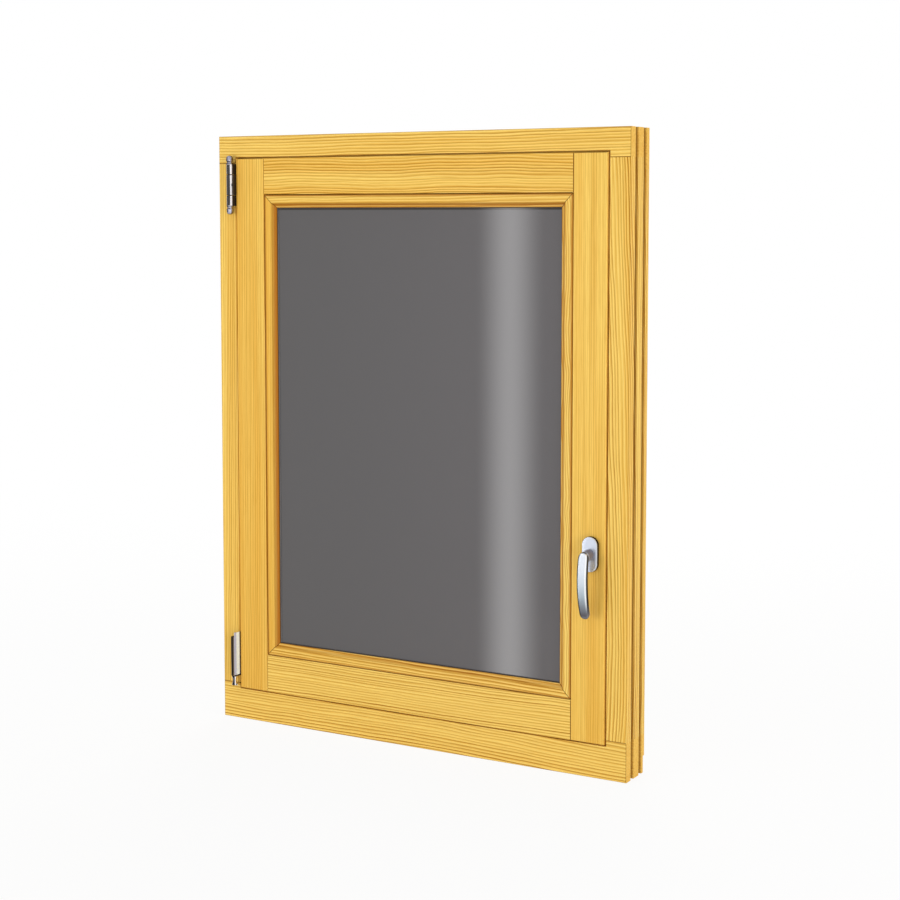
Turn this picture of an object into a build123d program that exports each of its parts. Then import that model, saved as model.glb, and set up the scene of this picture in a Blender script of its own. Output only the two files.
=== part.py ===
from build123d import *
import os

os.makedirs("parts", exist_ok=True)

# A side-hung tilt and turn window of pine, shut, with its hinges on the left
# and its handle on the right, seen from the room.
# X runs along the width and Z is up. Y runs outdoors, so the room side is -Y.
# The origin is the middle of the sill's underside.

# Outer frame
frame_width = 865
frame_height = 1135
frame_depth = 78
head_height = 51
sill_height = 70
jamb_width = 50
recess_width = 11
recess_depth = 16
stop_width = 20
stop_depth = 20
groove_width = 12
groove_depth = 6
front_groove_inset = 19
back_groove_inset = 53
sill_rebate_height = 30
sill_rebate_depth = 6
edge_radius = 1.2

# Sash
sash_gap = 3
sash_proud = 3
sash_depth = 59
lip_depth = 16
body_gap = 4
stile_face = 64
top_rail_face = 68
bottom_rail_face = 72

# Glazing
bead_width = 25
bead_groove = 1.5
bead_shoulder = 17
bead_fall = 1.5
bead_round = 8
bead_land = 2
bead_land_depth = 2
glazing_lip_depth = 22
pane_thickness = 4
pane_spacing = 16
pane_clearance = 5
spacer_width = 9
gasket_thickness = 2
gasket_show = 1.5
gasket_width = 8
inner_seal_inset = 4
inner_seal_width = 6
outer_seal_inset = 5
outer_seal_width = 6

# Rain rail
rail_wall = 2
rail_rise = 26
rail_lip_height = 10
rail_cap_length = 4

# Hinges
hinge_inset = 9
hinge_proud = 11
knuckle_radius = 6.4
hinge_pin_radius = 3
pin_clearance = 0.2
leaf_thickness = 1.3
leaf_reach = 10
leaf_web = 3
leaf_step = 1.5
knuckle_gap = 0.5
top_cap_length = 16
top_hinge_drop = 10
outer_knuckle_length = 20
middle_knuckle_length = 40
bottom_hinge_rise = 24
bottom_barrel_length = 78
bottom_band_length = 87
bottom_pin_length = 50
bearing_length = 18
bearing_radius = 5

# Handle
handle_inset = 26
handle_rise = 336
rosette_length = 62
rosette_width = 29
rosette_thickness = 9
rosette_radius = 2
neck_radius = 10
neck_end_radius = 7.5
collar_radius = 6
collar_length = 6
turning_clearance = 0.3
grip_width = 19
grip_thickness = 12
grip_length = 118
grip_rise = 8
grip_bow_share = 0.45
grip_start_reach = 29
grip_middle_reach = 35.5
grip_end_reach = 21
grip_end_radius = 3
spindle_side = 7
spindle_length = 42
spindle_bore_radius = 6

# Places worked out from these sizes
room_face = -frame_depth / 2
outdoor_face = frame_depth / 2
half_width = frame_width / 2
recess_floor = room_face + recess_depth
stop_face = outdoor_face - stop_depth
jamb_inner = half_width - jamb_width
stop_inner = jamb_inner - stop_width
head_underside = frame_height - head_height
head_stop_edge = head_underside - stop_width

sash_face = room_face - sash_proud
sash_back = sash_face + sash_depth
lip_back = sash_face + lip_depth
sash_half_width = jamb_inner + recess_width - sash_gap
sash_top = head_underside + recess_width - sash_gap
sash_bottom = sill_height - recess_width + sash_gap
body_half_width = jamb_inner - body_gap
body_top = head_underside - body_gap
body_bottom = sill_height + body_gap

rebate_half_width = sash_half_width - stile_face
rebate_top = sash_top - top_rail_face
rebate_bottom = sash_bottom + bottom_rail_face
rebate_height = rebate_top - rebate_bottom
rebate_middle = (rebate_top + rebate_bottom) / 2
sight_half_width = rebate_half_width - bead_width
sight_top = rebate_top - bead_width
sight_bottom = rebate_bottom + bead_width
lip_face = sash_back - glazing_lip_depth
outer_pane_back = lip_face - gasket_thickness
outer_pane_face = outer_pane_back - pane_thickness
inner_pane_back = outer_pane_face - pane_spacing
inner_pane_face = inner_pane_back - pane_thickness
bead_back = inner_pane_face - gasket_thickness
pane_half_width = rebate_half_width - pane_clearance
pane_height = rebate_height - 2 * pane_clearance
handle_x = sash_half_width - handle_inset
handle_height = sash_bottom + handle_rise


def add_box(x_range, y_range, z_range, mode=Mode.ADD):
    # A straight length of timber or metal between these limits
    middle = [(low + high) / 2 for low, high in (x_range, y_range, z_range)]
    sides = [high - low for low, high in (x_range, y_range, z_range)]
    with Locations(tuple(middle)):
        Box(*sides, mode=mode)


def ease_face_edges(part):
    # The planed edges round the face that looks into the room and the one outdoors
    for side in (0, -1):
        fillet(part.faces().sort_by(Axis.Y)[side].edges(), radius=edge_radius)


def finish(part, name):
    part.part.label = name
    export_step(part.part, f"parts/{name}.step")


def cut_side_grooves(hand):
    # Two grooves run down each side of the frame, for the fixings in the wall
    for inset in (front_groove_inset, back_groove_inset):
        depth = (room_face + inset, room_face + inset + groove_width)
        face = sorted((hand * half_width, hand * (half_width - groove_depth)))
        add_box(face, depth, (0, frame_height), mode=Mode.SUBTRACT)


def cut_sash_recess():
    # The lip of the sash lies in this recess, nearly flush with the frame
    reach = jamb_inner + recess_width
    add_box(
        (-reach, reach),
        (room_face, recess_floor),
        (sill_height - recess_width, head_underside + recess_width),
        mode=Mode.SUBTRACT,
    )


# The head and sill run the full width, with the jambs between them. Outdoors the
# head and jambs are wider, which makes the stop that the sash shuts against
with BuildPart() as frame_head:
    add_box((-half_width, half_width), (room_face, stop_face), (head_underside, frame_height))
    add_box((-half_width, half_width), (stop_face, outdoor_face), (head_stop_edge, frame_height))
    cut_side_grooves(-1)
    cut_side_grooves(1)
    cut_sash_recess()
    ease_face_edges(frame_head)
finish(frame_head, "frame_head")

with BuildPart() as frame_sill:
    add_box((-half_width, half_width), (room_face, outdoor_face), (0, sill_height))
    cut_side_grooves(-1)
    cut_side_grooves(1)
    cut_sash_recess()
    add_box(
        (-half_width, half_width),
        (outdoor_face - sill_rebate_depth, outdoor_face),
        (0, sill_rebate_height),
        mode=Mode.SUBTRACT,
    )
    ease_face_edges(frame_sill)
finish(frame_sill, "frame_sill")

for name, hand in (("frame_jamb_left", -1), ("frame_jamb_right", 1)):
    with BuildPart() as frame_jamb:
        add_box(
            sorted((hand * jamb_inner, hand * half_width)),
            (room_face, stop_face),
            (sill_height, head_underside),
        )
        add_box(
            sorted((hand * stop_inner, hand * half_width)),
            (stop_face, outdoor_face),
            (sill_height, head_stop_edge),
        )
        cut_side_grooves(hand)
        cut_sash_recess()
        ease_face_edges(frame_jamb)
    finish(frame_jamb, name)

# The stiles run the full height of the sash, with the rails between them
for name, hand in (("sash_stile_left", -1), ("sash_stile_right", 1)):
    with BuildPart() as sash_stile:
        add_box(
            sorted((hand * rebate_half_width, hand * sash_half_width)),
            (sash_face, lip_back),
            (sash_bottom, sash_top),
        )
        add_box(
            sorted((hand * rebate_half_width, hand * body_half_width)),
            (lip_back, lip_face),
            (body_bottom, body_top),
        )
        add_box(
            sorted((hand * sight_half_width, hand * body_half_width)),
            (lip_face, sash_back),
            (body_bottom, body_top),
        )
        ease_face_edges(sash_stile)
        if hand > 0:
            # The bore that takes the handle's spindle
            with BuildSketch(Plane((handle_x, sash_face, handle_height), (1, 0, 0), (0, 1, 0))):
                Circle(spindle_bore_radius)
            extrude(amount=spindle_length, mode=Mode.SUBTRACT)
    finish(sash_stile, name)

for name, face_range, body_range, outdoor_range in (
    ("sash_top_rail", (rebate_top, sash_top), (rebate_top, body_top), (sight_top, body_top)),
    (
        "sash_bottom_rail",
        (sash_bottom, rebate_bottom),
        (body_bottom, rebate_bottom),
        (body_bottom, sight_bottom),
    ),
):
    with BuildPart() as sash_rail:
        add_box((-rebate_half_width, rebate_half_width), (sash_face, lip_back), face_range)
        add_box((-rebate_half_width, rebate_half_width), (lip_back, lip_face), body_range)
        add_box((-sight_half_width, sight_half_width), (lip_face, sash_back), outdoor_range)
        ease_face_edges(sash_rail)
    finish(sash_rail, name)

# Glazing beads, mitred at the corners. Each one slopes towards the glass, then
# rounds over to a narrow land beside it
bead_depth = bead_back - sash_face
shoulder = (bead_shoulder, bead_fall)
land = (bead_width - bead_land, bead_depth - bead_land_depth)
for name, middle, inward, length in (
    ("bead_left", (-rebate_half_width, rebate_middle), (1, 0, 0), rebate_height),
    ("bead_right", (rebate_half_width, rebate_middle), (-1, 0, 0), rebate_height),
    ("bead_top", (0, rebate_top), (0, 0, -1), 2 * rebate_half_width),
    ("bead_bottom", (0, rebate_bottom), (0, 0, 1), 2 * rebate_half_width),
):
    edge = Vector(middle[0], sash_face, middle[1])
    along = Vector(*inward).cross(Vector(0, 1, 0))
    with BuildPart() as bead:
        with BuildSketch(Plane(origin=edge - along * (length / 2), x_dir=inward, z_dir=along)):
            with BuildLine():
                RadiusArc(shoulder, land, bead_round)
                Polyline(
                    land,
                    (bead_width, land[1]),
                    (bead_width, bead_depth),
                    (bead_groove, bead_depth),
                    (bead_groove, bead_groove),
                    (2 * bead_groove, 0),
                    shoulder,
                )
            make_face()
        extrude(amount=length)
        with BuildSketch(Plane(origin=edge, x_dir=inward, z_dir=(0, 1, 0))):
            with BuildLine():
                Polyline(
                    (0, -length / 2),
                    (bead_width, bead_width - length / 2),
                    (bead_width, length / 2 - bead_width),
                    (0, length / 2),
                    close=True,
                )
            make_face()
        extrude(amount=bead_depth, mode=Mode.INTERSECT)
    finish(bead, name)

# Sealed double glazing
for name, face in (("glass_inner_pane", inner_pane_face), ("glass_outer_pane", outer_pane_face)):
    with BuildPart() as pane:
        add_box(
            (-pane_half_width, pane_half_width),
            (face, face + pane_thickness),
            (rebate_middle - pane_height / 2, rebate_middle + pane_height / 2),
        )
    finish(pane, name)


def make_ring(name, half_span, low, high, bar, near, far):
    # A closed rectangular loop, its bar measured inwards from the outer edge
    with BuildPart() as ring:
        middle = (low + high) / 2
        add_box((-half_span, half_span), (near, far), (low, high))
        with Locations((0, (near + far) / 2, middle)):
            Box(2 * (half_span - bar), far - near, high - low - 2 * bar, mode=Mode.SUBTRACT)
    finish(ring, name)


make_ring(
    "glass_spacer",
    pane_half_width,
    rebate_bottom + pane_clearance,
    rebate_top - pane_clearance,
    spacer_width,
    inner_pane_back,
    outer_pane_face,
)
gasket_edge = bead_width + gasket_show - gasket_width
for name, near in (("glazing_gasket_inner", bead_back), ("glazing_gasket_outer", outer_pane_back)):
    make_ring(
        name,
        rebate_half_width - gasket_edge,
        rebate_bottom + gasket_edge,
        rebate_top - gasket_edge,
        gasket_width,
        near,
        near + gasket_thickness,
    )
make_ring(
    "sash_seal_inner",
    sash_half_width - inner_seal_inset,
    sash_bottom + inner_seal_inset,
    sash_top - inner_seal_inset,
    inner_seal_width,
    lip_back,
    recess_floor,
)
make_ring(
    "sash_seal_outer",
    body_half_width - outer_seal_inset,
    body_bottom + outer_seal_inset,
    body_top - outer_seal_inset,
    outer_seal_width,
    sash_back,
    stop_face,
)

# The rain rail stands on the sill outdoors and stops the foot of the sash
rail_profile = [
    (stop_face, sill_height),
    (outdoor_face, sill_height),
    (outdoor_face, sill_height + rail_lip_height),
    (stop_face + 2 * rail_wall, sill_height + rail_rise),
    (stop_face, sill_height + rail_rise),
]
rail_half_length = stop_inner - rail_cap_length
with BuildPart() as rain_rail:
    with BuildSketch(Plane.YZ.offset(-rail_half_length)) as rail_section:
        with BuildLine():
            Polyline(*rail_profile, close=True)
        make_face()
        offset(amount=-rail_wall, kind=Kind.INTERSECTION, mode=Mode.SUBTRACT)
    extrude(amount=2 * rail_half_length)
finish(rain_rail, "rain_rail")

for name, start in (("rain_rail_cap_left", -stop_inner), ("rain_rail_cap_right", rail_half_length)):
    with BuildPart() as rail_cap:
        with BuildSketch(Plane.YZ.offset(start)):
            with BuildLine():
                Polyline(*rail_profile, close=True)
            make_face()
        extrude(amount=rail_cap_length)
    finish(rail_cap, name)

# Hinges. The pins of both stand on one upright axis in front of the left jamb
hinge_x = -sash_half_width - hinge_inset
hinge_y = room_face - hinge_proud
recess_edge = -(jamb_inner + recess_width)
sash_edge = -sash_half_width
leaf_back = room_face + leaf_reach
web_range = (hinge_y - leaf_web / 2, hinge_y + leaf_web / 2)
leaf_front = web_range[1] + leaf_step


def add_knuckle(low, high, radius):
    # One barrel of a hinge
    with Locations((hinge_x, hinge_y, (low + high) / 2)):
        Cylinder(radius, high - low)


def bore_for_pin(low, high):
    with Locations((hinge_x, hinge_y, (low + high) / 2)):
        Cylinder(hinge_pin_radius + pin_clearance, high - low, mode=Mode.SUBTRACT)


def add_arm(low, high, leaf_range):
    # The web from a barrel to its leaf in the gap between frame and sash
    add_box((hinge_x, leaf_range[1]), web_range, (low, high))
    add_box(leaf_range, (web_range[0], leaf_front), (low, high))


frame_leaf = (recess_edge, recess_edge + leaf_thickness)
sash_leaf = (sash_edge - leaf_thickness, sash_edge)
upper_top = sash_top - top_hinge_drop
upper_bottom = upper_top - outer_knuckle_length
lower_top = upper_bottom - middle_knuckle_length
lower_bottom = lower_top - outer_knuckle_length
with BuildPart() as top_hinge_bearing:
    for low, high in ((upper_bottom, upper_top), (lower_bottom, lower_top)):
        add_knuckle(low, high, knuckle_radius)
        add_arm(low, high, frame_leaf)
    add_box(frame_leaf, (leaf_front, leaf_back), (lower_bottom, upper_top))
    bore_for_pin(lower_bottom, upper_top)
finish(top_hinge_bearing, "top_hinge_bearing")

middle_range = (lower_top + knuckle_gap, upper_bottom - knuckle_gap)
with BuildPart() as top_hinge_band:
    add_knuckle(*middle_range, knuckle_radius)
    add_arm(*middle_range, sash_leaf)
    add_box(sash_leaf, (leaf_front, leaf_back), middle_range)
    bore_for_pin(*middle_range)
finish(top_hinge_band, "top_hinge_band")

# One pin with a domed cap at each end
with BuildPart() as top_hinge_pin:
    with BuildSketch(Plane(origin=(hinge_x, hinge_y, 0), x_dir=(1, 0, 0), z_dir=(0, -1, 0))):
        with BuildLine():
            top_end = upper_top + top_cap_length
            bottom_end = lower_bottom - top_cap_length
            Line((0, bottom_end), (0, top_end))
            RadiusArc((0, top_end), (knuckle_radius, top_end - knuckle_radius), knuckle_radius)
            Polyline(
                (knuckle_radius, top_end - knuckle_radius),
                (knuckle_radius, upper_top),
                (hinge_pin_radius, upper_top),
                (hinge_pin_radius, lower_bottom),
                (knuckle_radius, lower_bottom),
                (knuckle_radius, bottom_end + knuckle_radius),
            )
            RadiusArc((knuckle_radius, bottom_end + knuckle_radius), (0, bottom_end), knuckle_radius)
        make_face()
    revolve(axis=Axis((hinge_x, hinge_y, 0), (0, 0, 1)))
finish(top_hinge_pin, "top_hinge_pin")

bottom_band_base = sash_bottom + bottom_hinge_rise
bearing_top = bottom_band_base - knuckle_gap
bearing_base = bearing_top - bearing_length
band_top = bottom_band_base + bottom_band_length
pin_top = bearing_base + bottom_pin_length
with BuildPart() as bottom_hinge_band:
    add_knuckle(bottom_band_base, bottom_band_base + bottom_barrel_length, knuckle_radius)
    add_arm(bottom_band_base, band_top, sash_leaf)
    add_box(sash_leaf, (leaf_front, leaf_back), (bottom_band_base, band_top))
    bore_for_pin(bottom_band_base, pin_top)
finish(bottom_hinge_band, "bottom_hinge_band")

with BuildPart() as bottom_hinge_bearing:
    add_knuckle(bearing_base, bearing_top, bearing_radius)
    add_arm(bearing_base, bearing_top, frame_leaf)
    add_box(frame_leaf, (leaf_front, leaf_back), (bearing_base, bearing_top))
    bore_for_pin(bearing_base, bearing_top)
finish(bottom_hinge_bearing, "bottom_hinge_bearing")

with BuildPart() as bottom_hinge_pin:
    with Locations((hinge_x, hinge_y, (bearing_base + pin_top) / 2)):
        Cylinder(hinge_pin_radius, pin_top - bearing_base)
finish(bottom_hinge_pin, "bottom_hinge_pin")

# Handle on the right stile. It points down when the window is shut
rosette_plane = Plane(origin=(handle_x, sash_face, handle_height), x_dir=(1, 0, 0), z_dir=(0, -1, 0))
with BuildPart() as handle_rosette:
    with BuildSketch(rosette_plane):
        SlotOverall(rosette_length, rosette_width, rotation=90)
    extrude(amount=rosette_thickness)
    fillet(handle_rosette.faces().sort_by(Axis.Y)[0].edges(), radius=rosette_radius)
    with BuildSketch(rosette_plane):
        Circle(collar_radius + turning_clearance)
    extrude(amount=rosette_thickness, mode=Mode.SUBTRACT)
finish(handle_rosette, "handle_rosette")

neck_base = rosette_thickness + turning_clearance
with BuildPart() as handle_lever:
    with BuildSketch(rosette_plane.offset(neck_base)):
        Circle(neck_radius)
    with BuildSketch(rosette_plane.offset(grip_start_reach)):
        Circle(neck_end_radius)
    loft()
    with BuildSketch(rosette_plane.offset(rosette_thickness - collar_length)):
        Circle(collar_radius)
    extrude(amount=neck_base - rosette_thickness + collar_length)
    with BuildLine(Plane(rosette_plane.origin, x_dir=(0, -1, 0), z_dir=(-1, 0, 0))):
        grip_path = ThreePointArc(
            (grip_start_reach, grip_rise),
            (grip_middle_reach, grip_rise - grip_length * grip_bow_share),
            (grip_end_reach, grip_rise - grip_length),
        )
    with BuildSketch(Plane(origin=grip_path @ 0, x_dir=(1, 0, 0), z_dir=grip_path % 0)):
        Ellipse(grip_width / 2, grip_thickness / 2)
    sweep(path=grip_path)
    for end in (0, -1):
        fillet(handle_lever.faces().sort_by(Axis.Z)[end].edges(), radius=grip_end_radius)
finish(handle_lever, "handle_lever")

with BuildPart() as handle_spindle:
    with BuildSketch(rosette_plane.offset(rosette_thickness - collar_length)):
        Rectangle(spindle_side, spindle_side)
    extrude(amount=-spindle_length + rosette_thickness)
finish(handle_spindle, "handle_spindle")
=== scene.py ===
import math
import bmesh
import bpy
from mathutils import Matrix, Vector


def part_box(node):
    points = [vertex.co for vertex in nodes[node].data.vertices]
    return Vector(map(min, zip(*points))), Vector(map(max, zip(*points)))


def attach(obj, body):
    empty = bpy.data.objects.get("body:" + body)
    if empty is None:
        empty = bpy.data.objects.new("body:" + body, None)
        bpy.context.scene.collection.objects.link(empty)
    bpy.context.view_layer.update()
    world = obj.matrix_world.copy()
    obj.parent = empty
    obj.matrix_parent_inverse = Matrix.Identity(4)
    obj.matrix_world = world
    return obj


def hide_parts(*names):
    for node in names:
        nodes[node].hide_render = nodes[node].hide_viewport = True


# A pine tilt and turn window, seen from the room. Pieces are modelled in millimetres
# in the window's own frame (X right, Y outdoors, Z up) and scaled to metres at the end.
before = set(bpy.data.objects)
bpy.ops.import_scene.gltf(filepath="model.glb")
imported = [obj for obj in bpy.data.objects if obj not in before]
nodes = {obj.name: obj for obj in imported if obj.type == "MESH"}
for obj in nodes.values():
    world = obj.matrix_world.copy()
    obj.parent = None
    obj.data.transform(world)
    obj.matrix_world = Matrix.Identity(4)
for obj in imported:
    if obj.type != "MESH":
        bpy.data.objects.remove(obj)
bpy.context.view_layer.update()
print("frame loaded:", len(nodes), "nodes")


def placeOf(node):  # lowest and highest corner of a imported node, in millimetres
    low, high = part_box(node)
    return low * 1000, high * 1000


class Wire:  # one output in a node tree; arithmetic on it adds Math nodes
    def __init__(self, tree, socket=None):
        self.tree = tree
        self.socket = socket

    def node(self, kind, settings=None, inputs=None, output=0):
        made = self.tree.nodes.new(kind)
        for name, value in (settings or {}).items():
            if name == "stops":
                fillRamp(made.color_ramp, value)
            else:
                setattr(made, name, value)
        for name, value in (inputs or {}).items():
            if isinstance(value, Wire):
                self.tree.links.new(value.socket, made.inputs[name])
            else:
                made.inputs[name].default_value = value
        return Wire(self.tree, None if output is None else made.outputs[output])

    def math(self, operation, *values):
        return self.node("ShaderNodeMath", {"operation": operation}, dict(enumerate(values)))

    def __add__(self, other):
        return self.math("ADD", self, other)

    def __radd__(self, other):
        return self.math("ADD", other, self)

    def __sub__(self, other):
        return self.math("SUBTRACT", self, other)

    def __rsub__(self, other):
        return self.math("SUBTRACT", other, self)

    def __mul__(self, other):
        return self.math("MULTIPLY", self, other)

    def __rmul__(self, other):
        return self.math("MULTIPLY", other, self)

    def __truediv__(self, other):
        return self.math("DIVIDE", self, other)

    def __rtruediv__(self, other):
        return self.math("DIVIDE", other, self)

    def __pow__(self, other):
        return self.math("POWER", self, other)

    def __rpow__(self, other):
        return self.math("POWER", other, self)


def fillRamp(ramp, stops):
    while len(ramp.elements) < len(stops):
        ramp.elements.new(1)
    for element, (position, value) in zip(ramp.elements, stops):
        element.position = position
        element.color = value if isinstance(value, tuple) else (value, value, value, 1)


def colour(red, green, blue):  # screen values from 0 to 255, turned into linear light
    def linear(value):
        value /= 255
        return value / 12.92 if value <= 0.04045 else ((value + 0.055) / 1.055) ** 2.4
    return (linear(red), linear(green), linear(blue), 1)


def newMaterial(name):
    material = bpy.data.materials.new(name)
    material.use_nodes = True
    material.node_tree.nodes.clear()
    return material, Wire(material.node_tree)


def split(vector):
    parts = ("X", "Y", "Z")
    apart = vector.node("ShaderNodeSeparateXYZ", {}, {"Vector": vector}, "X")
    return [Wire(vector.tree, apart.socket.node.outputs[part]) for part in parts]


def coordinates(start, kind="Object"):  # of the place, or with "Normal" of the way it faces
    return split(start.node("ShaderNodeTexCoord", {}, {}, kind))


def join(x, y, z):
    return x.node("ShaderNodeCombineXYZ", {}, {"X": x, "Y": y, "Z": z})


def noise(vector, detail=2, roughness=0.5, output="Fac"):
    inputs = {"Vector": vector, "Scale": 1, "Detail": detail, "Roughness": roughness}
    return vector.node("ShaderNodeTexNoise", {}, inputs, output)


def ease(value, low, high, start=0, end=1):  # smooth step from start to end
    inputs = {"Value": value, "From Min": low, "From Max": high, "To Min": start, "To Max": end}
    return value.node("ShaderNodeMapRange", {"interpolation_type": "SMOOTHSTEP"}, inputs)


def band(value, rise, fall):  # 1 between two soft edges
    return ease(value, *rise) * ease(value, *fall, 1, 0)


def absolute(value):
    return value.math("ABSOLUTE", value)


def smaller(value, other):
    return value.math("MINIMUM", value, other)


def mixColour(amount, first, second):
    return amount.node("ShaderNodeMix", {"data_type": "RGBA"}, {0: amount, 6: first, 7: second}, 2)


def finishMaterial(start, sockets):
    surface = start.node("ShaderNodeBsdfPrincipled", {}, sockets, "BSDF")
    start.node("ShaderNodeOutputMaterial", {}, {"Surface": surface}, None)


pine = {
    "pale": colour(255, 214, 108),
    "warm": colour(242, 186, 76),
    "early": colour(255, 226, 130),
    "late": colour(166, 104, 4),
    "fibre": colour(212, 154, 44),
    "endGrain": colour(226, 172, 80),
    "joint": colour(104, 60, 6),
    # painted shade in a bead's hollow and on its slope to the glass, and in the frame's grooves
    "hollowShade": colour(170, 98, 12),
    "lip": colour(116, 62, 14),
    "groove": colour(150, 108, 50),
    # how much of each tone covers what lies under it
    "cover": {"streak": 0.42, "fibre": 0.4, "early": 0.55, "endGrain": 0.45, "ringlessEnd": 0.85,
              "joint": 0.95, "mitre": 0.9, "groove": 0.72, "arris": 0.4},
    # how far a face turns, from 0 to 1, while a tone comes in or goes
    "cutEnd": (0.6, 0.9), "jointTurn": ((0.06, 0.25), (0.85, 0.98)), "lipTurn": (0.25, 0.8),
    "frontTurn": (0.3, 0.7),
    # how the patterns repeat, in cycles per metre along and across the grain
    "waves": (12, 70), "fibres": (16, 520), "streaks": (1.6, 260), "patches": (0.9, 34),
    "roughness": 0.42,
    "grainDepth": 0.0003,
    # painted shade across a bead, from its outer edge to the glass; the left one is darkest at the
    # glass
    "beadShade": [(0, 0.9), (0.09, 0.7), (0.16, 0.08), (0.3, 0), (0.5, 0.05), (0.62, 0.2),
                  (0.72, 0.45), (0.79, 1), (0.86, 0.45), (0.94, 0.35), (1, 0.6)],
    "leftBeadShade": [(0, 0.9), (0.09, 0.7), (0.16, 0.08), (0.3, 0), (0.54, 0.04), (0.64, 0.15),
                      (0.74, 0.5), (0.82, 0.85), (0.9, 0.95), (1, 0.9)],
    "mitreLine": (0.0003, 0.0013),
}

# For each length of timber: the way it runs, the place of the tree's heart across and
# behind the face (mm), the tilt and bow of the grain, the ring spacing (mm), how far and
# how often the rings wander, how bold they are, how warm the wood is and how dark its
# joints are. For a bead also how much painted shade lies in its hollow and on its slope
# to the glass
timbers = {
    "frame_head": {"along": "X", "heart": (1330, 60), "tilt": 0.01, "bow": 0.02, "ring": 5,
                   "wander": 9, "flow": 2.4, "bold": 1, "warm": 0.39, "joint": 0.3, "seed": 1.7},
    "frame_sill": {"along": "X", "heart": (-170, 60), "tilt": -0.01, "bow": -0.015, "ring": 5.2,
                   "wander": 9, "flow": 2.4, "bold": 1, "warm": 0, "joint": 0.3, "seed": 4.1},
    "frame_jamb_left": {"along": "Z", "heart": (-560, 60), "tilt": 0.02, "bow": 0, "ring": 4.4,
                        "wander": 3, "flow": 1, "bold": 0.7, "warm": 0.43, "joint": 1, "seed": 7.3},
    "frame_jamb_right": {"along": "Z", "heart": (300, -120), "tilt": -0.03, "bow": -0.04,
                         "ring": 4.8, "wander": 9, "flow": 2.4, "bold": 1.05, "warm": 0.5,
                         "joint": 1, "seed": 9.6},
    "sash_top_rail": {"along": "X", "heart": (1260, 70), "tilt": -0.012, "bow": 0.03, "ring": 4.8,
                      "wander": 12, "flow": 3, "bold": 0.82, "warm": 0.45, "joint": 1,
                      "seed": 12.2},
    "sash_bottom_rail": {"along": "X", "heart": (-60, 30), "tilt": 0.008, "bow": 0, "ring": 4.8,
                         "wander": 7, "flow": 2, "bold": 1.05, "warm": 0, "joint": 1,
                         "seed": 15.8},
    "sash_stile_left": {"along": "Z", "heart": (-560, 60), "tilt": 0.006, "bow": 0, "ring": 3.6,
                        "wander": 3, "flow": 1, "bold": 0.5, "warm": 0.52, "joint": 0.6,
                        "seed": 18.4},
    "sash_stile_right": {"along": "Z", "heart": (600, 80), "tilt": -0.004, "bow": 0, "ring": 3.6,
                         "wander": 3, "flow": 1, "bold": 0.28, "warm": 0.38, "joint": 0.6,
                         "seed": 21.9},
    "bead_left": {"along": "Z", "heart": (-420, 30), "tilt": 0.008, "bow": 0, "ring": 3.2,
                  "wander": 4, "flow": 1.5, "bold": 0.35, "warm": 0.7, "joint": 1, "seed": 24.5,
                  "hollowShade": 0.95, "lip": 0.1},
    "bead_right": {"along": "Z", "heart": (380, -90), "tilt": -0.012, "bow": 0, "ring": 4.4,
                   "wander": 16, "flow": 6, "bold": 1.3, "warm": 0.4, "joint": 1, "seed": 27.1,
                   "hollowShade": 0.8, "lip": 0.25},
    "bead_top": {"along": "X", "heart": (1080, 10), "tilt": 0.012, "bow": 0, "ring": 4.2,
                 "wander": 7, "flow": 2, "bold": 1, "warm": 0.5, "joint": 1, "seed": 30.7,
                 "hollowShade": 0.95, "lip": 0.25},
    "bead_bottom": {"along": "X", "heart": (60, 10), "tilt": -0.01, "bow": 0, "ring": 4.2,
                    "wander": 7, "flow": 2, "bold": 1.1, "warm": 0.5, "joint": 1, "seed": 33.3,
                    "hollowShade": 0.5, "lip": 0},
}
headLow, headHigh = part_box("frame_head")
beadLow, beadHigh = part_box("bead_left")
beadWidth = beadHigh.x - beadLow.x
# Where the shade in the grooves and on the outer corners lies, in metres from the wood's faces
groove = {"depth": 0.006, "mouth": 0.0004, "floor": 0.0048, "clear": 0.003, "corner": 0.001,
          "beyond": 0.002, "fade": 0.002, "endFade": 0.001}
arris = {"wide": 0.0022, "front": (0.0002, 0.001)}


def sideZone(x, y, fade):  # 1 in the grooved part of the frame's sides
    depth = headHigh.x - absolute(x)
    far = groove["depth"] + groove["beyond"]
    return (ease(depth, far, far + fade, 1, 0)
            * ease(absolute(y), headHigh.y - groove["clear"], headHigh.y - groove["corner"], 1, 0))


def grooveShade(x, y, upright):  # the two grooves down each side of the frame lie in shade
    depth = headHigh.x - absolute(x)
    return (ease(depth, groove["mouth"], groove["floor"]) * sideZone(x, y, groove["fade"])
            * ease(upright, *pine["frontTurn"], 1, 0))


def arrisShade(x, y, z):  # painted shade on the frame's outer front corners
    inset = smaller(headHigh.x - absolute(x), smaller(z, headHigh.z - z))
    start, end = (headLow.y + back for back in arris["front"])
    return ease(inset, 0, arris["wide"], 1, 0) * ease(y, start, end, 1, 0)


def beadMarks(x, z, shade):  # the shaded hollow of the moulding and the line of its mitres
    side = -beadLow.x - absolute(x)
    ends = smaller(beadHigh.z - z, z - beadLow.z)
    inset = smaller(side, ends) / beadWidth
    hollowShade = inset.node("ShaderNodeValToRGB", {"stops": shade}, {"Fac": inset}, "Color")
    return hollowShade, ease(absolute(side - ends), *pine["mitreLine"], 1, 0)


# The rings wander slowly (cycles per metre, then metres for one unit of a timber's wander)
# and have small waves (metres). Years differ in width and strength. The pale early wood and
# the dark late wood have their places within a ring, from 0 to 1, and a ring fades where it
# is nearly level with the face
growth = {"slow": 5, "wander": 0.002, "wave": 0.003, "widthRate": 0.3, "widths": 1.5,
          "yearRate": 0.13, "years": (0.35, 0.6, 0.45, 1), "least": 0.4, "chance": 0.6,
          "early": ((0, 0.1), (0.14, 0.55)), "late": ((0.45, 0.86), (0.88, 1)),
          "level": (0.06, 0.34, 0.12, 1)}


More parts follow.
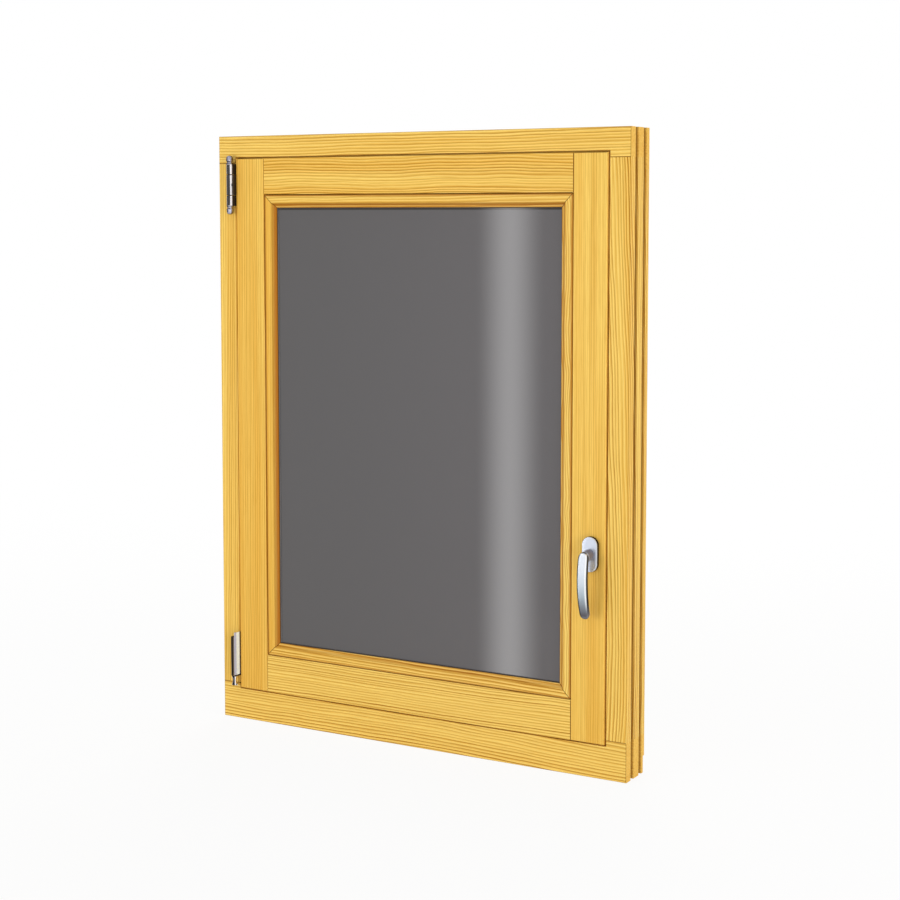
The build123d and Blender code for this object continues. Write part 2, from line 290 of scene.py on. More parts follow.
def woodNoise(timber, place, scales, detail=2, roughness=0.5):
    (along, across, y), (lengthways, crossways) = place, scales
    return noise(join(along * lengthways + timber["seed"], across * crossways, y * crossways),
                 detail, roughness)


def growthRings(timber, place, normalY, aslant):
    # rings round the tree's heart, each with a hard dark edge of its own strength
    along, across, y = place
    seed, slowly = timber["seed"], growth["slow"]
    reach = along - (0 if timber["along"] == "X" else headHigh.z / 2)
    slow = noise(join(along * timber["flow"] + seed, across * slowly + seed, y * slowly),
                 output="Color")
    slowAcross, slowDeep = split(slow)[:2]
    waves = woodNoise(timber, place, pine["waves"])
    wander = timber["wander"] * growth["wander"]
    heartAcross, heartDeep = (value * 0.001 for value in timber["heart"])
    sideways = (across - heartAcross - reach * timber["tilt"] - reach * reach * timber["bow"]
                + (slowAcross - 0.5) * wander)
    deep = y - heartDeep + (slowDeep - 0.5) * wander
    distance = (sideways * sideways + deep * deep) ** 0.5
    turns = (distance + (waves - 0.5) * growth["wave"]) / (timber["ring"] * 0.001)
    uneven = noise(join(turns * growth["widthRate"] + seed, 0, 0), 1)
    rings = turns + uneven * growth["widths"]
    within = rings.math("FRACT", rings)
    chance = rings.node("ShaderNodeTexWhiteNoise", {"noise_dimensions": "1D"},
                        {"W": rings.math("FLOOR", rings) + seed}, "Value")
    years = ease(noise(join(turns * growth["yearRate"] + seed * 2, 0, 0), 1), *growth["years"])
    # where a ring runs level with the cut face it fades instead of making a broad patch
    crossing = (sideways * normalY - deep * aslant) / distance
    clear = ease(absolute(crossing), *growth["level"])
    late = (band(within, *growth["late"]) * (chance * growth["chance"] + growth["least"])
            * years * clear)
    return late, band(within, *growth["early"]) * clear


def beadTone(name, timber, x, z, aslant, colouring):  # painted shade of a moulding, mitred at its ends
    cover = pine["cover"]
    hollowShade, mitre = beadMarks(x, z, pine["leftBeadShade" if name == "bead_left" else "beadShade"])
    inwards = aslant * (1 if name in ("bead_left", "bead_bottom") else -1)
    shaded = mixColour(hollowShade * timber["hollowShade"], colouring, pine["hollowShade"])
    lip = ease(inwards, *pine["lipTurn"]) * timber["lip"]
    lipped = mixColour(lip, shaded, pine["lip"])
    return mixColour(mitre * cover["mitre"], lipped, pine["joint"])


def memberTone(name, timber, place, endways, upright, colouring):  # dark at its joints, painted shade in its grooves
    cover = pine["cover"]
    joints = band(endways, *pine["jointTurn"]) * timber["joint"]
    jointed = mixColour(joints * cover["joint"], colouring, pine["joint"])
    sunk = grooveShade(place[0], place[1], upright)
    grooved = mixColour(sunk * cover["groove"], jointed, pine["groove"])
    if not name.startswith("frame"):
        return grooved
    return mixColour(arrisShade(*place) * cover["arris"], grooved, pine["joint"])


def makePine(name, timber):
    material, start = newMaterial(name + "_pine")
    x, y, z = coordinates(start)
    normalX, normalY, normalZ = coordinates(start, "Normal")
    along, across, endways, aslant = ((x, z, normalX, normalZ) if timber["along"] == "X"
                                      else (z, x, normalZ, normalX))
    endways = absolute(endways)
    grainPlace = (along, across, y)
    late, early = growthRings(timber, grainPlace, normalY, aslant)
    cover = pine["cover"]
    if timber["along"] == "X" and name.startswith("frame"):  # no rings show in the grooved ends
        whole = 1 - sideZone(x, y, groove["endFade"]) * cover["ringlessEnd"]
        late, early = late * whole, early * whole

    # Fine threads, streaks and broad patches along the grain
    fibre = woodNoise(timber, grainPlace, pine["fibres"], 3, 0.6)
    threads = ease(fibre, 0.38, 0.78)
    streak = woodNoise(timber, grainPlace, pine["streaks"], 2, 0.6)
    patches = woodNoise(timber, grainPlace, pine["patches"])

    cutEnd = ease(endways, *pine["cutEnd"])
    pale = mixColour(ease(patches + timber["warm"] - 0.5, 0.25, 0.75), pine["pale"],
                     pine["warm"])
    streaked = mixColour(ease(streak, 0.42, 0.68) * cover["streak"], pale, pine["fibre"])
    threaded = mixColour(threads * cover["fibre"], streaked, pine["fibre"])
    lit = mixColour(early * timber["bold"] * (1 - cutEnd) * cover["early"], threaded,
                    pine["early"])
    ringed = mixColour(late * timber["bold"] * (1 - cutEnd * 0.85), lit, pine["late"])
    colouring = mixColour(cutEnd * cover["endGrain"], ringed, pine["endGrain"])
    if name.startswith("bead"):
        colouring = beadTone(name, timber, x, z, aslant, colouring)
    else:
        colouring = memberTone(name, timber, (x, y, z), endways, absolute(normalZ), colouring)

    bump = start.node("ShaderNodeBump", {}, {"Strength": 0.35, "Distance": pine["grainDepth"],
                                             "Height": late * 0.55 + fibre * 0.45})
    finishMaterial(start, {
        "Base Color": colouring,
        "Roughness": threads * 0.1 + cutEnd * 0.2 + pine["roughness"],
        "Specular IOR Level": 0.1,
        "Normal": bump,
    })
    return material


for name, timber in timbers.items():
    nodes[name].data.materials.clear()
    nodes[name].data.materials.append(makePine(name, timber))
print("pine:", len(timbers), "lengths of timber")


grainDepth = 0.0002  # metres, of the bump on metals, rubber and plastic
# A metal's tone goes between pale and dull, and rim tints its glancing shine. Roughness varies
# by spread, with a grain in cycles per metre. The rest is painted light and shade, and where it
# goes: by how far a face turns, from -1 to 1, or by place in metres
metals = {
    "nickel": {"pale": colour(252, 250, 254), "dull": colour(236, 234, 240), "metal": 1,
               "rim": colour(90, 88, 92), "roughness": 0.1, "spread": 0.05,
               "grain": (300, 300, 40), "bump": 0.03,
               "ends": (0.4, 0.7), "highlightSide": (0.62, 0.74), "highlightAbove": (0.5, 0.6)},
    # near black: painted shade and dark reflections on the hinge leaves and the bottom barrel
    "shadowedSteel": {"pale": colour(46, 39, 32), "dull": colour(36, 30, 24), "metal": 0,
                  "rim": colour(90, 84, 84), "roughness": 0.4, "spread": 0.08,
                  "grain": (300, 300, 60), "bump": 0.04,
                  "lit": colour(138, 122, 106), "litSide": ((0, 0.6), (0.62, 0.72))},
    "satinNickel": {"pale": colour(244, 255, 255), "dull": colour(238, 250, 255), "metal": 0,
                    "rim": colour(120, 120, 120), "roughness": 0.3, "spread": 0.08,
                    "grain": (500, 500, 30), "bump": 0.05,
                    "shade": colour(186, 184, 198), "shadeSide": (0.88, 0.96),
                    "deep": colour(96, 74, 44), "gapShadeFrom": (-0.0455, -0.0426)},
    "capMetal": {"pale": colour(182, 181, 196), "dull": colour(146, 144, 160), "metal": 1,
                 "rim": colour(90, 88, 100), "roughness": 0.2, "spread": 0.06,
                 "grain": (300, 300, 300), "bump": 0.04},
    "handleSilver": {"pale": colour(212, 218, 232), "dull": colour(204, 211, 226), "metal": 0.7,
                     "rim": colour(120, 120, 128), "roughness": 0.24, "spread": 0.04,
                     "grain": (900, 900, 900), "bump": 0.05},
    "railSilver": {"pale": colour(202, 204, 206), "dull": colour(197, 199, 202), "metal": 1,
                   "rim": colour(255, 255, 255), "roughness": 0.38, "spread": 0.08,
                   "grain": (14, 900, 900), "bump": 0.08},
    "spacerGrey": {"pale": colour(150, 152, 155), "dull": colour(132, 134, 138), "metal": 1,
                   "rim": colour(255, 255, 255), "roughness": 0.45, "spread": 0.05,
                   "grain": (200, 200, 200), "bump": 0.05},
}
# The foot of the handle's plate and the lever's neck have painted shade, between distances from
# the back of the plate. The grip has painted shade and reflection that pale upwards, a painted
# highlight along its right corner and painted shade on its sides
handlePaintedLight = {
    # painted shade on the foot of the plate
    "foot": colour(34, 32, 36), "footEdge": (0.0062, 0.0065),
    # painted shade on the neck, which is also less metal
    "neck": colour(92, 80, 82), "neckStart": (0.0096, 0.0098), "neckEnd": (0.024, 0.031),
    "neckCover": 0.85, "neckShine": 0.6,
    # painted highlight along the grip's right corner
    "paintedHighlight": colour(255, 255, 255), "gleamSide": ((0.2, 0.45), (0.75, 0.92)),
    "gleamHeight": (0.08, 0.38), "gleamCover": 0.9,
    # painted shade on the grip's sides and ends
    "edge": colour(36, 36, 42), "edgeLeft": (-0.45, 0.05), "edgeRight": (0.75, 0.95),
    "edgeEnds": (0.45, 0.85), "edgeCover": 0.92,
    # painted reflection and shade down the grip, darkest at its foot
    "grip": [(0, colour(24, 22, 24)), (0.03, colour(40, 38, 42)), (0.08, colour(96, 94, 102)),
             (0.22, colour(138, 146, 154)), (0.38, colour(176, 190, 200)),
             (0.55, colour(208, 218, 228)), (0.75, colour(224, 230, 238)),
             (1, colour(228, 233, 242))],
}
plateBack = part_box("handle_rosette")[1].y
leverLow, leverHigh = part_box("handle_lever")


def paintHandleLight(y, z, sideways, upright, tone):  # the tone with painted light and shade, and 1 where the neck is
    out = plateBack - y
    neck = band(out, handlePaintedLight["neckStart"], handlePaintedLight["neckEnd"])
    grip = ease(out, *handlePaintedLight["neckEnd"])
    share = (z - leverLow.z) / (leverHigh.z - leverLow.z)
    faded = share.node("ShaderNodeValToRGB", {"stops": handlePaintedLight["grip"]}, {"Fac": share},
                       "Color")
    paintedHighlight = (band(sideways, *handlePaintedLight["gleamSide"])
             * ease(share, *handlePaintedLight["gleamHeight"]))
    edge = ease(sideways, *handlePaintedLight["edgeLeft"], 1, 0)
    for other in (ease(sideways, *handlePaintedLight["edgeRight"]),
                  ease(upright, *handlePaintedLight["edgeEnds"])):
        edge = edge.math("MAXIMUM", edge, other)
    for amount, part in ((neck * handlePaintedLight["neckCover"], handlePaintedLight["neck"]),
                         (grip, faded),
                         (paintedHighlight * grip * handlePaintedLight["gleamCover"], handlePaintedLight["paintedHighlight"]),
                         (edge * grip * handlePaintedLight["edgeCover"], handlePaintedLight["edge"]),
                         (ease(out, *handlePaintedLight["footEdge"], 1, 0), handlePaintedLight["foot"])):
        tone = mixColour(amount, tone, part)
    return tone, neck


def makeMetal(name, metal):
    material, start = newMaterial(name)
    x, y, z = coordinates(start)
    sideways, upwards = coordinates(start, "Normal")[::2]
    upright = absolute(upwards)
    grainX, grainY, grainZ = metal["grain"]
    grain = noise(join(x * grainX, y * grainY, z * grainZ), 2, 0.6)
    cloud = noise(join(x * 40, y * 40, z * 40), 2)
    bump = start.node("ShaderNodeBump", {}, {"Strength": metal["bump"], "Height": grain,
                                             "Distance": grainDepth})
    tone = mixColour(ease(cloud, 0.3, 0.7), metal["pale"], metal["dull"])
    shiny = metal["metal"]
    if name == "nickel":  # painted shade at barrel ends; a painted highlight, matt, on the upper ones' right
        tone = mixColour(ease(upright, *metal["ends"]), tone, metals["shadowedSteel"]["pale"])
        shiny = shiny - ease(sideways, *metal["highlightSide"]) * ease(z, *metal["highlightAbove"])
    if name == "shadowedSteel":  # painted light where it turns a little to the right
        tone = mixColour(band(sideways, *metal["litSide"]), tone, metal["lit"])
    if name == "satinNickel":  # painted shade off its right side, and where it goes into the gap
        tone = mixColour(ease(sideways, *metal["shadeSide"], 1, 0), tone, metal["shade"])
        tone = mixColour(ease(y, *metal["gapShadeFrom"]), tone, metal["deep"])
    if name == "handleSilver":
        tone, neck = paintHandleLight(y, z, sideways, upright, tone)
        shiny = shiny - neck * handlePaintedLight["neckShine"]
    finishMaterial(start, {
        "Base Color": tone,
        "Metallic": shiny,
        "Specular Tint": metal["rim"],
        "Roughness": (grain - 0.5) * metal["spread"] + metal["roughness"],
        "Normal": bump,
    })
    return material


nickel, shadowedSteel, satinNickel, capMetal, handleSilver, railSilver, spacerGrey = (
    makeMetal(name, metal) for name, metal in metals.items())

solids = {
    "gasket": {"dark": colour(50, 44, 38), "light": colour(74, 66, 57),
               "litSide": colour(140, 138, 138), "roughness": 0.7, "size": 900, "bump": 0.2},
    "rubber": {"dark": colour(50, 44, 38), "light": colour(74, 66, 57),
               "litSide": colour(74, 66, 57), "roughness": 0.7, "size": 900, "bump": 0.2},
    "plastic": {"dark": colour(34, 34, 36), "light": colour(44, 44, 46),
                "litSide": colour(44, 44, 46), "roughness": 0.42, "size": 1500, "bump": 0.15},
}


def makeSolid(name, solid):
    material, start = newMaterial(name)
    sideways = coordinates(start, "Normal")[0]
    grain = noise(join(*(part * solid["size"] for part in coordinates(start))), 3, 0.6)
    bump = start.node("ShaderNodeBump", {}, {"Strength": solid["bump"], "Height": grain,
                                             "Distance": grainDepth})
    tone = mixColour(ease(grain, 0.3, 0.75), solid["dark"], solid["light"])
    finishMaterial(start, {
        # painted light on faces turned to the right
        "Base Color": mixColour(ease(sideways, 0.4, 0.8), tone, solid["litSide"]),
        "Roughness": (grain - 0.5) * 0.15 + solid["roughness"],
        "Specular IOR Level": 0.4,
        "Normal": bump,
    })
    return material


gasket, rubber, plastic = (makeSolid(name, solid) for name, solid in solids.items())

# The glass has a painted shadow along its top edge, under the bead
glass = {"left": colour(86, 84, 85), "right": colour(95, 92, 94), "roughness": 0.035,
         "topShadow": colour(44, 38, 28), "topShadowBand": (0.006, 0.0032)}


def makeGlass():
    material, start = newMaterial("tintedGlass")
    x, y, z = coordinates(start)
    cloud = noise(join(x * 1.3, y, z * 1.1), 1)
    tint = mixColour(ease(x, beadHigh.x, -beadHigh.x), glass["left"], glass["right"])
    low, high = (beadHigh.z - beadWidth - drop for drop in glass["topShadowBand"])
    finishMaterial(start, {
        "Base Color": mixColour(ease(z, low, high), tint, glass["topShadow"]),
        "Roughness": (cloud - 0.5) * 0.01 + glass["roughness"],
        "IOR": 1.5,
    })
    return material


tintedGlass = makeGlass()


def dress(names, material):
    for name in names:
        nodes[name].data.materials.clear()
        nodes[name].data.materials.append(material)


dress(("glass_inner_pane", "glass_outer_pane"), tintedGlass)
dress(("glass_spacer",), spacerGrey)
dress(("glazing_gasket_inner", "glazing_gasket_outer"), gasket)
dress(("sash_seal_inner", "sash_seal_outer"), rubber)
dress(("rain_rail",), railSilver)
dress(("rain_rail_cap_left", "rain_rail_cap_right"), plastic)
dress(("top_hinge_bearing", "top_hinge_band", "bottom_hinge_band", "bottom_hinge_bearing"),
      nickel)
dress(("top_hinge_pin", "bottom_hinge_pin"), capMetal)
dress(("handle_lever", "handle_rosette"), handleSilver)
dress(("handle_spindle",), spacerGrey)


touch = 0.01  # millimetres, for finding points by their place
metres = 0.001  # in a millimetre


def newPoints(form, before):
    return [point for point in form.verts if point not in before]


def pointsOf(drawn):  # the points that an extrusion has made
    return [item for item in drawn["geom"] if isinstance(item, bmesh.types.BMVert)]


def addBlock(form, low, high):
    bmesh.ops.create_cube(form, size=1)
    bmesh.ops.scale(form, vec=high - low, verts=form.verts)
    bmesh.ops.translate(form, vec=(low + high) / 2, verts=form.verts)


def cutLine(form, place, facing):  # new edges where a plane crosses the form
    bmesh.ops.bisect_plane(form, geom=form.verts[:] + form.edges[:] + form.faces[:], dist=0.001,
                           plane_co=place, plane_no=facing)


def addObject(name, data):
    made = bpy.data.objects.new(name, data)
    bpy.context.scene.collection.objects.link(made)
    return made


def turn(form, outline, centre, axis=(0, 0, 1), closed=False):
    # spins (radius, height) points round an upright line, then lays that line along the axis
    # and moves it to the centre
    before = set(form.verts)
    points = [form.verts.new((radius, 0, height)) for radius, height in outline]
    pairs = list(zip(points, points[1:])) + ([(points[-1], points[0])] if closed else [])
    edges = [form.edges.new(pair) for pair in pairs]
    bmesh.ops.spin(form, geom=points + edges, cent=(0, 0, 0), axis=(0, 0, 1),
                   angle=math.tau, steps=48, use_merge=True)
    bmesh.ops.remove_doubles(form, verts=newPoints(form, before), dist=0.001)
    lay = Vector((0, 0, 1)).rotation_difference(Vector(axis)).to_matrix().to_4x4()
    bmesh.ops.transform(form, matrix=Matrix.Translation(centre) @ lay,
                        verts=newPoints(form, before))


def bar(form, outline, reach, roundings=None):
    # a closed outline, its corners rounded where roundings gives them a size, drawn out along
    # reach
    before = set(form.verts)
    points = [form.verts.new(point) for point in outline]
    face = form.faces.new(points)
    for index, size in (roundings or {}).items():
        bmesh.ops.bevel(form, geom=[points[index]], offset=size, offset_type="OFFSET",
                        segments=5, profile=0.5, affect="VERTICES", material=-1)
    face = [face for face in form.faces if all(v not in before for v in face.verts)]
    drawn = bmesh.ops.extrude_face_region(form, geom=face, use_keep_orig=True)
    bmesh.ops.translate(form, vec=reach, verts=pointsOf(drawn))
    return newPoints(form, before)


def roundEdges(form, edges, size, segments=3):
    bmesh.ops.bevel(form, geom=edges, offset=size, offset_type="OFFSET", segments=segments,
                    profile=0.5, affect="EDGES", clamp_overlap=True, material=-1)


def finishPiece(form, name, body, material, stands=(), sharp=40):
    bmesh.ops.scale(form, vec=(metres, metres, metres), verts=form.verts)
    bmesh.ops.recalc_face_normals(form, faces=form.faces)
    mesh = bpy.data.meshes.new(name)
    form.to_mesh(mesh)
    form.free()
    mesh.shade_smooth()
    mesh.set_sharp_from_angle(angle=math.radians(sharp))
    mesh.materials.append(material)
    piece = addObject(name, mesh)
    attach(piece, body)
    if stands:
        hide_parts(*stands)
    return piece


pinLow, pinHigh = placeOf("top_hinge_pin")
hingeX, hingeY = (pinLow.x + pinHigh.x) / 2, (pinLow.y + pinHigh.y) / 2
bearingLow, bearingHigh = placeOf("top_hinge_bearing")
bandLow, bandHigh = placeOf("top_hinge_band")
sashEdge = bandHigh.x
gapEnd = bandHigh.y

barrel = {"radius": 6.4, "bore": 3.2, "chamfer": 0.6, "webFront": -1.5, "webBack": 1.2,
          "leafThickness": 1.3, "bend": 1.2, "cornerRound": 5, "clear": 0.5}


def addBarrel(form, low, high):
    outer, bore, chamfer = barrel["radius"], barrel["bore"], barrel["chamfer"]
    turn(form, [(bore, low), (outer - chamfer, low), (outer, low + chamfer),
                (outer, high - chamfer), (outer - chamfer, high), (bore, high)],
         (hingeX, hingeY, 0), closed=True)


def addLeaf(form, edge, low, high, roundLow=False, roundHigh=False):
    # a plate from the barrel that bends round the edge into the gap beside the sash
    front, back = hingeY + barrel["webFront"], hingeY + barrel["webBack"]
    inner = edge - barrel["leafThickness"]
    points = bar(form, [(hingeX, front, low), (edge, front, low), (edge, gapEnd, low),
                        (inner, gapEnd, low), (inner, back, low), (hingeX, back, low)],
                 (0, 0, high - low), {1: barrel["bend"]})
    for wanted, height in ((roundLow, low), (roundHigh, high)):
        if wanted:
            corner = [line for line in form.edges
                      if all(v in points and abs(v.co.z - height) < touch
                             and abs(v.co.y - front) < touch for v in line.verts)]
            roundEdges(form, corner, barrel["cornerRound"], segments=4)


knuckles, leaves = bmesh.new(), bmesh.new()
for low, high, ends in ((bandHigh.z + barrel["clear"], bearingHigh.z, (False, True)),
                        (bearingLow.z, bandLow.z - barrel["clear"], (True, False))):
    addBarrel(knuckles, low, high)
    addLeaf(leaves, bearingHigh.x, low, high, *ends)
finishPiece(knuckles, "topHingeBearing", "window", nickel, ["top_hinge_bearing"])
finishPiece(leaves, "topHingeBearingLeaves", "window", shadowedSteel, ["top_hinge_bearing"])

knuckle, leaf = bmesh.new(), bmesh.new()
addBarrel(knuckle, bandLow.z, bandHigh.z)
addLeaf(leaf, sashEdge, bandLow.z, bandHigh.z)
finishPiece(knuckle, "topHingeBand", "window", nickel, ["top_hinge_band"])
finishPiece(leaf, "topHingeBandLeaf", "window", shadowedSteel, ["top_hinge_band"])

# Each cap is a short neck with a rounded button on it: (radius, distance from the barrel)
cap = {
    "outline": [(5.8, 0), (6.1, 0.5), (6.1, 2), (5.3, 2.7), (5.1, 3.4), (5.5, 4.2), (6.2, 5.2),
                (6.4, 6.6), (6.4, 10), (6.2, 11.8), (5.6, 13.4), (4.6, 14.7), (3.2, 15.6),
                (1.6, 15.95), (0, 16)],
    "rod": 3,
}
form = bmesh.new()
upper = [(radius, bearingHigh.z + height) for radius, height in cap["outline"]]
lower = [(radius, bearingLow.z - height) for radius, height in cap["outline"]]
rod = [(cap["rod"], bearingLow.z), (cap["rod"], bearingHigh.z)]
turn(form, lower[::-1] + rod + upper, (hingeX, hingeY, 0))
finishPiece(form, "topHingePin", "window", capMetal, ["top_hinge_pin"], sharp=60)

# The grub screw that sets the height of the sash
screw = {"fromAxis": 6.6, "radius": 2.2, "socket": 1, "proud": 1.6, "sunk": -0.4, "chamfer": 0.2,
         "socketFloor": 0.3}
form = bmesh.new()
seat = (hingeX + screw["fromAxis"], hingeY + barrel["webFront"], (bandLow.z + bandHigh.z) / 2)
turn(form, [(0, screw["sunk"]), (screw["radius"], screw["sunk"]),
            (screw["radius"], screw["proud"] - screw["chamfer"]),
            (screw["radius"] - screw["chamfer"], screw["proud"]),
            (screw["socket"], screw["proud"]), (screw["socket"], screw["socketFloor"]),
            (0, screw["socketFloor"])], seat, (0, -1, 0))
finishPiece(form, "topHingeScrew", "window", plastic)

# The bottom hinge: a barrel in painted shade, with a bright skin round its front that goes into the
# gap
footLow, footHigh = placeOf("bottom_hinge_bearing")
wingLow, wingHigh = placeOf("bottom_hinge_band")
shell = {"barrelLength": 78, "radius": 7, "from": 33, "to": 74, "thickness": 0.9, "gap": 1.8,
         "lift": 3.2, "strap": 5.2, "clear": 0.2}
form = bmesh.new()
addBarrel(form, wingLow.z, wingLow.z + shell["barrelLength"])
addLeaf(form, sashEdge - shell["gap"], wingLow.z, wingLow.z + shell["strap"])
finishPiece(form, "bottomHingeBarrel", "window", shadowedSteel, ["bottom_hinge_band"])

form = bmesh.new()
angles = (math.radians(shell["from"]), math.radians(shell["to"]))
skinFoot = wingLow.z + shell["lift"]
first = form.verts.new((hingeX + shell["radius"] * math.sin(angles[0]),
                        hingeY - shell["radius"] * math.cos(angles[0]), skinFoot))
bmesh.ops.spin(form, geom=[first], cent=(hingeX, hingeY, 0), axis=(0, 0, 1),
               angle=angles[1] - angles[0], steps=10)
last = max(form.verts, key=lambda point: point.co.y)
bendPlace = (sashEdge - shell["gap"], placeOf("sash_stile_left")[0].y - shell["clear"])
for place in (bendPlace, (sashEdge, gapEnd)):
    following = form.verts.new((*place, skinFoot))
    form.edges.new((last, following))
    last = following
drawn = bmesh.ops.extrude_edge_only(form, edges=form.edges[:])
bmesh.ops.translate(form, vec=(0, 0, wingHigh.z - skinFoot), verts=pointsOf(drawn))
bmesh.ops.recalc_face_normals(form, faces=form.faces)
bmesh.ops.solidify(form, geom=form.faces[:], thickness=shell["thickness"])
finishPiece(form, "bottomHingeSkin", "window", satinNickel, ["bottom_hinge_band"])

# The foot is waisted, with a thin plate that bends into the gap: (radius, height)
tall = footHigh.z - footLow.z
foot = {
    "outline": [(0, 0), (4.7, 0), (5.2, 0.5), (5.2, 2.5), (4.3, 4.5), (3.5, 8), (3.5, 10.5),
                (4.2, 14), (5, 15.5), (5, tall - 0.5), (4.5, tall), (0, tall)],
    "plate": 3,
}
form = bmesh.new()
turn(form, foot["outline"], (hingeX, hingeY, footLow.z))
addLeaf(form, footHigh.x, footLow.z, footLow.z + foot["plate"])
finishPiece(form, "bottomHingeFoot", "window", nickel, ["bottom_hinge_bearing"])
print("hinges modelled")


rosetteLow, rosetteHigh = placeOf("handle_rosette")
axisX, axisZ = (rosetteLow.x + rosetteHigh.x) / 2, (rosetteLow.z + rosetteHigh.z) / 2
sashFace = rosetteHigh.y

rosette = {"edge": 2.2, "seamFromWood": 2.6, "seamDepth": 0.45, "seamWidth": 0.35,
           "flat": 0.04}
form = bmesh.new()
size = rosetteHigh - rosetteLow
addBlock(form, rosetteLow, rosetteHigh)
corners = [edge for edge in form.edges if abs(edge.verts[0].co.y - edge.verts[1].co.y) > 1]
roundEdges(form, corners, (size.x - rosette["flat"]) / 2, segments=20)
bmesh.ops.remove_doubles(form, verts=form.verts, dist=0.1)
rim = [edge for edge in form.edges
       if all(abs(v.co.y - rosetteLow.y) < touch for v in edge.verts)
       and len(edge.link_faces) == 2 and edge.calc_face_angle(0) > 1]
roundEdges(form, rim, rosette["edge"], segments=6)
seamY = sashFace - rosette["seamFromWood"]
for shift in (-rosette["seamWidth"], 0, rosette["seamWidth"]):
    cutLine(form, (0, seamY + shift, 0), (0, 1, 0))
seam = [v for v in form.verts if abs(v.co.y - seamY) < touch]
inwards = Matrix.Translation((-axisX, 0, -axisZ))
bmesh.ops.scale(form, vec=(1 - rosette["seamDepth"] / (size.x / 2), 1,
                           1 - rosette["seamDepth"] / (size.z / 2)), space=inwards, verts=seam)
finishPiece(form, "handleRosette", "window", handleSilver, ["handle_rosette"],
            sharp=35)

# The grip bows along an arc through three places (how far it stands off the wood, height from
# the axis). It narrows a little towards both ends, which are rounded
grip = {
    "reach": (29, 35.5, 21), "rise": (8, -45.1, -110), "width": 19, "thickness": 12,
    "corner": 4.6, "stations": 26, "topRound": 12, "footRound": 11, "leastWidth": 0.2,
    "thicknessPower": 0.6, "narrowest": 0.94, "swell": 0.06, "swellRate": 1.15,
    "voxel": 0.0006, "polish": 0.5, "polishRounds": 14,
}
neck = [  # (reach, half width, half height, drop)
    (9.4, 9.6, 9.6, 0), (10, 10, 10, 0), (13, 9.8, 9.8, 0), (18, 9.3, 9.5, 0.4),
    (23, 8.9, 10.2, 2), (29, 8.6, 12.2, 5), (33, 8, 11, 6),
]


def arcThrough(points):  # centre and radius of the circle through three points
    (ax, ay), (bx, by), (cx, cy) = points
    spread = 2 * (ax * (by - cy) + bx * (cy - ay) + cx * (ay - by))
    a, b, c = ax * ax + ay * ay, bx * bx + by * by, cx * cx + cy * cy
    centre = Vector(((a * (by - cy) + b * (cy - ay) + c * (ay - by)) / spread,
                     (a * (cx - bx) + b * (ax - cx) + c * (bx - ax)) / spread))
    return centre, (Vector((ax, ay)) - centre).length


def drawThrough(form, ring, stations):  # extrudes a ring of edges from one station to the next
    edges = ring
    for index, station in enumerate(stations[1:]):
        drawn = bmesh.ops.extrude_edge_only(form, edges=edges)
        points = pointsOf(drawn)
        edges = [item for item in drawn["geom"] if isinstance(item, bmesh.types.BMEdge)
                 and all(v in points for v in item.verts)]
        bmesh.ops.transform(form, matrix=station @ stations[index].inverted(), verts=points)
    form.faces.new(loopOf(edges))


def loopOf(edges):  # the vertices of a ring of edges, in order
    order = [edges[0].verts[0], edges[0].verts[1]]
    while len(order) < len(edges):
        following = next(edge for edge in edges if order[-1] in edge.verts
                         and order[-2] not in edge.verts)
        order.append(following.other_vert(order[-1]))
    return order


form = bmesh.new()
halfWidth, halfThick = grip["width"] / 2, grip["thickness"] / 2
section = [form.verts.new(p) for p in ((-halfWidth, -halfThick, 0), (halfWidth, -halfThick, 0),
                                       (halfWidth, halfThick, 0), (-halfWidth, halfThick, 0))]
form.faces.new(section)
bmesh.ops.bevel(form, geom=section, offset=grip["corner"], offset_type="OFFSET", segments=6,
                profile=0.5, affect="VERTICES", material=-1)
middle, radius = arcThrough(list(zip(grip["reach"], grip["rise"])))
startTurn, endTurn = (math.atan2(rise - middle.y, reach - middle.x) for reach, rise in
                      ((grip["reach"][0], grip["rise"][0]), (grip["reach"][2], grip["rise"][2])))
length = abs(endTurn - startTurn) * radius
straight = length - grip["topRound"] - grip["footRound"]
quarter = [1 - math.cos(math.radians(turned)) for turned in (0, 15, 30, 45, 60, 75)]
distances = [grip["topRound"] * share for share in quarter]
distances += [grip["topRound"] + straight * step / grip["stations"]
              for step in range(grip["stations"] + 1)]
distances += [length - grip["footRound"] * share for share in quarter[::-1]]
stations = []
for distance in distances:
    share = distance / length
    angle = startTurn + (endTurn - startTurn) * distance / length
    ends = 1
    for rounding, rest in ((grip["topRound"], distance), (grip["footRound"], length - distance)):
        if rest < rounding:
            ends *= max(math.sqrt(max(1 - (1 - rest / rounding) ** 2, 0)), grip["leastWidth"])
    swell = math.sin(math.pi * min(share * grip["swellRate"], 1))
    belly = grip["narrowest"] + grip["swell"] * swell
    stations.append(
        Matrix.Translation((axisX, sashFace - middle.x - radius * math.cos(angle),
                            axisZ + middle.y + radius * math.sin(angle)))
        @ Matrix.Rotation(-angle, 4, "X")
        @ Matrix.Diagonal((ends * belly, ends ** grip["thicknessPower"], 1, 1)))
bmesh.ops.transform(form, matrix=stations[0], verts=form.verts)
drawThrough(form, form.edges[:], stations)

